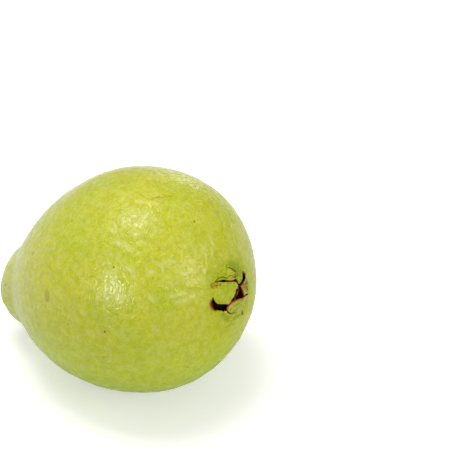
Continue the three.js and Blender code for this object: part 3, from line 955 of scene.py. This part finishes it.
# Small marks on the skin: (radius in mm, strength, points as length along the fruit and angle
# around it in degrees, 0 on the upper side). Lines of points are scratches and scars. About half
# of the points are the same scratch program's output, and the rest are set by hand.
SKIN_MARKS = [
    (0.34, 0.9, [(15.7, 307.5)]),
    (0.42, 1, [(12.3, 273)]),
    (0.40, 0.7, [(8.6, 17)]),
    (0.22, 0.3, [(13.5, 353), (16.8, 351.5), (18.1, 351.5)]),
    (0.24, 0.6, [(18.9, 354.5), (19.4, 356.5)]),
    (0.20, 0.3, [(18.1, 351.5), (20.6, 359), (21.8, 3.5)]),
    (0.34, 0.5, [(-2.2, 329.5)]),
    (0.40, 0.5, [(26.4, 227.5)]),
    (0.50, 0.3, [(0, 276.5)]),
    (0.50, 0.3, [(9, 257.5)]),
    (1.10, 0.35, [(-7.2, 292), (-7.5, 289)]),
    (0.45, 0.9, [(-41.9, 297)]),
    (0.34, 0.8, [(28.6, 359)]),
    (0.80, 0.3, [(-16.3, 313.5)]),
    (0.36, 0.8, [(-12, 150)]),
    (0.30, 0.8, [(9, 122)]),
    (0.26, 0.6, [(24, 160), (23.2, 163), (22.1, 165)]),
    (0.36, 0.6, [(-30, 60)]),
    (0.50, 0.5, [(2, 205), (3.1, 207)]),
]


# How far noise moves the marks' edges, in metres.
MARK_DRIFT = 0.0007


def gap_to_line(tree, place, start, end):
    """The distance from the place to a short straight line between two points."""
    if np.allclose(start, end):
        return vector_node(tree, "DISTANCE", place, tuple(start))
    step = end - start
    offset = vector_node(tree, "SUBTRACT", place, tuple(start))
    share = vector_node(tree, "DOT_PRODUCT", offset, tuple(step / (step @ step)))
    share = math_node(tree, "MINIMUM", math_node(tree, "MAXIMUM", share, 0.0), 1.0)
    return vector_node(tree, "LENGTH",
                       vector_node(tree, "MULTIPLY_ADD", share, tuple(-step), offset))


def mark_covers(tree, place):
    """How strongly each small mark covers the place, one piece of its line after another."""
    for radius, strength, spots in SKIN_MARKS:
        line = [skin_point(np.float64(x), math.radians(a)) * MM + MARK_DRIFT / 2 for x, a in spots]
        for start, end in zip(line, line[1:] or line):
            gap = gap_to_line(tree, place, start, end)
            cover = ramp(tree, gap, 1.3 * radius * MM, 0.5 * radius * MM)
            yield math_node(tree, "MULTIPLY", cover, strength)


def mark_mask(tree, place):
    """How strongly the small marks cover each place; noise makes their edges uneven."""
    wobble = texture_noise(tree, place, 2200, 2, 0.5, "Color")
    drifted = vector_node(tree, "MULTIPLY_ADD", wobble, (MARK_DRIFT,) * 3, place)
    return strongest(tree, mark_covers(tree, drifted))


DEEP_PATCHES = 0.45
BLOOM_PATCHES, BLOOM_SPECKLES = 0.30, 0.50
BLOOM_AT_BLOSSOM = 0.48
BLOOM_LOST_IF_DRY = 0.35


def skin_green(tree, place, parts, patchy, underside, far_side, dry):
    """The waxy skin's greens: deeper underneath and on the far side, which is painted shade, with a
    pale bloom that grows towards the stalk, partly the skin's own and partly painted reflection.
    """
    broad = ramp(tree, texture_noise(tree, place, 60, 2), 0.33, 0.72)
    fine = ramp(tree, texture_noise(tree, place, 1100, 3, 0.7), 0.38, 0.68)
    grain = ramp(tree, texture_noise(tree, place, 430, 3, 0.95), 0.32, 0.68)
    # Deeper green underneath is painted shade; the broad patches are the skin's own.
    deep = strongest(tree, (math_node(tree, "MULTIPLY", broad, DEEP_PATCHES), underside))
    colour = mixed(tree, deep, YELLOW_GREEN, DEEP_GREEN_AND_SHADE)
    bloom = math_node(tree, "MULTIPLY_ADD", patchy, BLOOM_PATCHES,
                      math_node(tree, "MULTIPLY", fine, BLOOM_SPECKLES))
    # The bloom grows towards the stalk: partly the skin's own paleness and partly painted reflection.
    share = math_node(tree, "ADD", ramp(tree, parts["X"], 0.012, -0.042), BLOOM_AT_BLOSSOM)
    bloom = math_node(tree, "MULTIPLY", bloom, share)
    fresh = math_node(tree, "MULTIPLY_ADD", dry, -BLOOM_LOST_IF_DRY, 1.0)
    colour = mixed(tree, math_node(tree, "MULTIPLY", bloom, fresh), colour, PALE_GREEN)
    colour = tinted(tree, colour, grain, *GRAIN_TINTS)
    # The far side is painted in shade: a little darker and less pale.
    return tinted(tree, colour, far_side, *FAR_SIDE_SHADE_TINTS)


SKIN_GLOSS, GLOSS_LOST_IF_DRIED = 0.30, 0.28
GLOSS_LOST_IF_MATT = 0.85


def skin_gloss(tree, parts, underside, far_side, dry):
    """How strongly the skin reflects: little where it is dried, where shade is painted in the crown,
    underneath and behind.
    """
    dried = strongest(tree, (attribute(tree, mask) for mask in ("pit_shade", "black_and_shade", "maroon", "olive")))
    gloss = math_node(tree, "MULTIPLY_ADD", dried, -GLOSS_LOST_IF_DRIED, SKIN_GLOSS)
    matt = strongest(tree, (dry, ramp(tree, parts["X"], 0.036, 0.0425), underside, far_side))
    kept = math_node(tree, "MULTIPLY_ADD", matt, -GLOSS_LOST_IF_MATT, 1.0)
    return math_node(tree, "MULTIPLY", gloss, kept)


SMOOTHEST, ROUGHEST = 0.19, 0.27
FLESH_GLOW = 0.12
FLESH_RADIUS = (0.004, 0.004, 0.0015)


def skin_material(name, marked):
    """Waxy green guava skin, with the crown's dried edges and the painted shade of its recesses
    painted by the masks.
    """
    material, tree, shader = new_material(name)
    place = coordinates(tree)
    parts = add(tree, "ShaderNodeSeparateXYZ", place).outputs
    patchy = ramp(tree, texture_noise(tree, place, 230, 3, 0.8), 0.36, 0.68)
    # The lowest part and the far side, where painted shade deepens the colour and the gloss is lower.
    underside = ramp(tree, parts["Z"], 0.050, 0.0)
    far_side = ramp(tree, parts["Y"], 0.012, 0.031)
    dry = attribute(tree, "dry")
    colour = skin_green(tree, place, parts, patchy, underside, far_side, dry)
    if marked:
        # Painted highlight streaks along the creases, then the small specks.
        colour = mixed(tree, attribute(tree, "highlight_paint"), colour, HIGHLIGHT_COLOUR)
        colour = mixed(tree, mark_mask(tree, place), colour, SPECK)
    for mask, paint_colour in PAINTS:
        colour = mixed(tree, attribute(tree, mask), colour, paint_colour)
    fill(tree, shader, Base_Color=colour,
         Roughness=math_node(tree, "MULTIPLY_ADD", patchy, ROUGHEST - SMOOTHEST, SMOOTHEST),
         Specular_IOR_Level=skin_gloss(tree, parts, underside, far_side, dry),
         Subsurface_Weight=FLESH_GLOW, Subsurface_Radius=FLESH_RADIUS, Subsurface_Scale=1.0,
         Normal=bumped(tree, crinkle_height(tree, place), 1.0, 0.001))
    return material


CELL_HEIGHT, EDGE_HEIGHT, RIPPLE_HEIGHT, PORE_HEIGHT = 0.15, 0.05, 0.008, 0.03
CELL_DRIFT = 0.0035
CELL_STRETCH = (1.35, 0.85, 0.85)
RIPPLES = 60


def crinkle_height(tree, place):
    """Fine creases in the waxy skin, as a height in millimetres."""
    drift = texture_noise(tree, place, 260, 2, 0.5, "Color")
    warped = vector_node(tree, "MULTIPLY_ADD", drift, (CELL_DRIFT,) * 3, place)
    stretched = vector_node(tree, "MULTIPLY", warped, CELL_STRETCH)
    cells = add(tree, "ShaderNodeTexVoronoi", stretched, feature="SMOOTH_F1", Scale=430,
                Smoothness=0.3)
    total = math_node(tree, "MULTIPLY", cells.outputs["Distance"], CELL_HEIGHT)
    edges = add(tree, "ShaderNodeTexVoronoi", stretched, feature="DISTANCE_TO_EDGE", Scale=520)
    crease = ramp(tree, edges.outputs["Distance"], 0.0, 0.16)
    total = math_node(tree, "MULTIPLY_ADD", crease, EDGE_HEIGHT, total)
    level = math_node(tree, "MULTIPLY", texture_noise(tree, place, 210, 1), RIPPLES)
    total = math_node(tree, "MULTIPLY_ADD", math_node(tree, "SINE", level), RIPPLE_HEIGHT, total)
    pores = texture_noise(tree, warped, 1100, 2)
    return math_node(tree, "MULTIPLY_ADD", pores, PORE_HEIGHT, total)


# Dry materials' darkest and lightest colour, and their colour where the mask ruddy is set. The disc's
# near black is partly its dried colour and partly painted shade of the deep basin.
DISC_AND_SHADE_COLOURS = (0.006, 0.002, 0.003), (0.020, 0.005, 0.006), (0.60, 0.19, 0.13)
STUB_COLOURS = (0.10, 0.055, 0.025), (0.30, 0.19, 0.09), (0.05, 0.025, 0.012)
DRY_ROUGHNESS, DRY_GLOSS = 0.8, 0.08


def dry_material(name, scale, dark, light, ruddy):
    """A dry fibrous material between two colours, a third one where the mask ruddy is set."""
    material, tree, shader = new_material(name)
    grain = ramp(tree, texture_noise(tree, coordinates(tree), scale, 4, 0.65), 0.35, 0.7)
    share = math_node(tree, "MULTIPLY", attribute(tree, "ruddy"),
                      math_node(tree, "MULTIPLY_ADD", grain, 0.8, 0.2))
    colour = mixed(tree, share, mixed(tree, grain, dark, light), ruddy)
    fill(tree, shader, Base_Color=colour, Roughness=DRY_ROUGHNESS, Specular_IOR_Level=DRY_GLOSS,
         Normal=bumped(tree, grain, 0.6, 0.0003))
    return material


# ---- Camera, lights and floor ----
CAMERA_AZIMUTH = math.radians(32.35)
CAMERA_ELEVATION = math.radians(35)
CAMERA_DISTANCE = 750
SENSOR_WIDTH = 36
MM_PER_PIXEL = 0.3014
PICTURE_WIDTH = 453
AIM_RIGHT, AIM_UP = 27.2, 15.5
BRIGHT_SIDE = (-0.42, -0.05, 0.85)
WORLD_DARKEST, WORLD_BRIGHTEST = 0.02, 0.58
SHADE_END = -0.35
FLOOR_LIFT, MIRRORED_LIFT = 0.44, 0.16
FLOOR_WHITE = (0.88, 0.88, 0.88)
FLOOR_HALF, FLOOR_DROP = 800, 0.1
BODY_CENTRE = -ORIGIN


def direction(azimuth, elevation):
    """The unit vector towards an azimuth, counted from -Y to +X, and an elevation, in radians."""
    level = math.cos(elevation)
    return np.array([math.sin(azimuth) * level, -math.cos(azimuth) * level, math.sin(elevation)])


def look_along(item, place, back):
    item.location = Vector(place * MM)
    item.rotation_euler = Vector(back).to_track_quat("Z", "Y").to_euler()


def make_camera():
    """The photograph's camera: the aim is so far right of and above the body's centre in view."""
    data = bpy.data.cameras.new("camera")
    data.sensor_width = SENSOR_WIDTH
    data.lens = SENSOR_WIDTH * CAMERA_DISTANCE / (MM_PER_PIXEL * PICTURE_WIDTH)
    data.clip_end = 20
    camera = bpy.data.objects.new("camera", data)
    bpy.context.scene.collection.objects.link(camera)
    back = direction(CAMERA_AZIMUTH, CAMERA_ELEVATION)
    right = np.array([math.cos(CAMERA_AZIMUTH), math.sin(CAMERA_AZIMUTH), 0])
    aim = BODY_CENTRE + AIM_RIGHT * right + AIM_UP * np.cross(back, right)
    look_along(camera, aim + CAMERA_DISTANCE * back, back)
    bpy.context.scene.camera = camera


def soft_box(name, azimuth, elevation, distance, size, watts, glint=False):
    """A rectangular lamp that faces the fruit from the given direction (degrees, mm).

    A glint only shows as a reflection in the waxy skin.
    """
    data = bpy.data.lights.new(name, "AREA")
    data.shape = "RECTANGLE"
    data.size, data.size_y = size[0] * MM, size[1] * MM
    data.energy = watts
    lamp = bpy.data.objects.new(name, data)
    bpy.context.scene.collection.objects.link(lamp)
    back = direction(math.radians(azimuth), math.radians(elevation))
    look_along(lamp, BODY_CENTRE + distance * back, back)
    lamp.visible_diffuse = not glint


def floor_material():
    """White paper; what the camera and reflections see of it is lifted to white."""
    material, tree, shader = new_material("floor_white")
    rays = add(tree, "ShaderNodeLightPath").outputs
    mirrored = strongest(tree, (rays["Is Glossy Ray"], rays["Is Transmission Ray"]))
    lift = strongest(tree, (math_node(tree, "MULTIPLY", mirrored, MIRRORED_LIFT),
                            math_node(tree, "MULTIPLY", rays["Is Camera Ray"], FLOOR_LIFT)))
    fill(tree, shader, Base_Color=FLOOR_WHITE, Roughness=0.9, Specular_IOR_Level=0,
         Emission_Color=(1, 1, 1), Emission_Strength=lift)
    return material


def make_world():
    """A world that is brighter above and on the left, and plain white where the camera sees it."""
    world = bpy.data.worlds.new("studio")
    world.use_nodes = True
    tree = world.node_tree
    outward = add(tree, "ShaderNodeTexCoord").outputs["Generated"]
    facing = vector_node(tree, "DOT_PRODUCT", outward, BRIGHT_SIDE)
    level = add(tree, "ShaderNodeMapRange", facing, SHADE_END, 1, WORLD_DARKEST, WORLD_BRIGHTEST)
    rays = add(tree, "ShaderNodeLightPath").outputs
    strength = strongest(tree, (level.outputs["Result"], rays["Is Camera Ray"],
                                rays["Is Transmission Ray"]))
    fill(tree, tree.nodes["Background"], Color=(1, 1, 1), Strength=strength)
    bpy.context.scene.world = world


def make_floor():
    """A white floor just under the fruit's resting spot."""
    mesh = bpy.data.meshes.new("floor")
    half = FLOOR_HALF * MM
    corners = [(-half, -half, 0), (half, -half, 0), (half, half, 0), (-half, half, 0)]
    mesh.from_pydata(corners, [], [(0, 1, 2, 3)])
    mesh.materials.append(floor_material())
    floor = bpy.data.objects.new("floor", mesh)
    bpy.context.scene.collection.objects.link(floor)
    floor.location.z = -FLOOR_DROP * MM


# ---- The assembly ----


def dress(piece, node, material):
    piece.data.materials.append(material)
    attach(piece, "root")
    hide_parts(node)


make_camera()
skin_look = skin_material("guava_skin_look", True)
dress(skin_mesh(), "fruit", skin_look)
sepal_look = skin_material("sepal_look", False)
for node_name, form in SEPALS.items():
    dress(sepal_mesh(node_name, **form), node_name, sepal_look)
disc_look = dry_material("dried_disc_look", 900, *DISC_AND_SHADE_COLOURS)
dress(disc_mesh(), "floral_disc", disc_look)
stub_look = dry_material("stalk_look", 700, *STUB_COLOURS)
dress(stub_mesh(), "stalk_stub", stub_look)
make_world()
make_floor()
soft_box("box_front", 12, 22, 900, (240, 290), 0.9)
soft_box("glint_front", 2, 25, 890, (270, 350), 3.5, glint=True)
soft_box("box_over", -80, 80, 900, (360, 440), 3.9)
soft_box("box_side", 96, 21, 900, (420, 380), 1.9)
soft_box("glint_side", 92, 22, 890, (380, 380), 0.9, glint=True)
soft_box("box_back", -160, 3, 900, (260, 140), 0.38)

bpy.context.scene.view_settings.view_transform = "Standard"
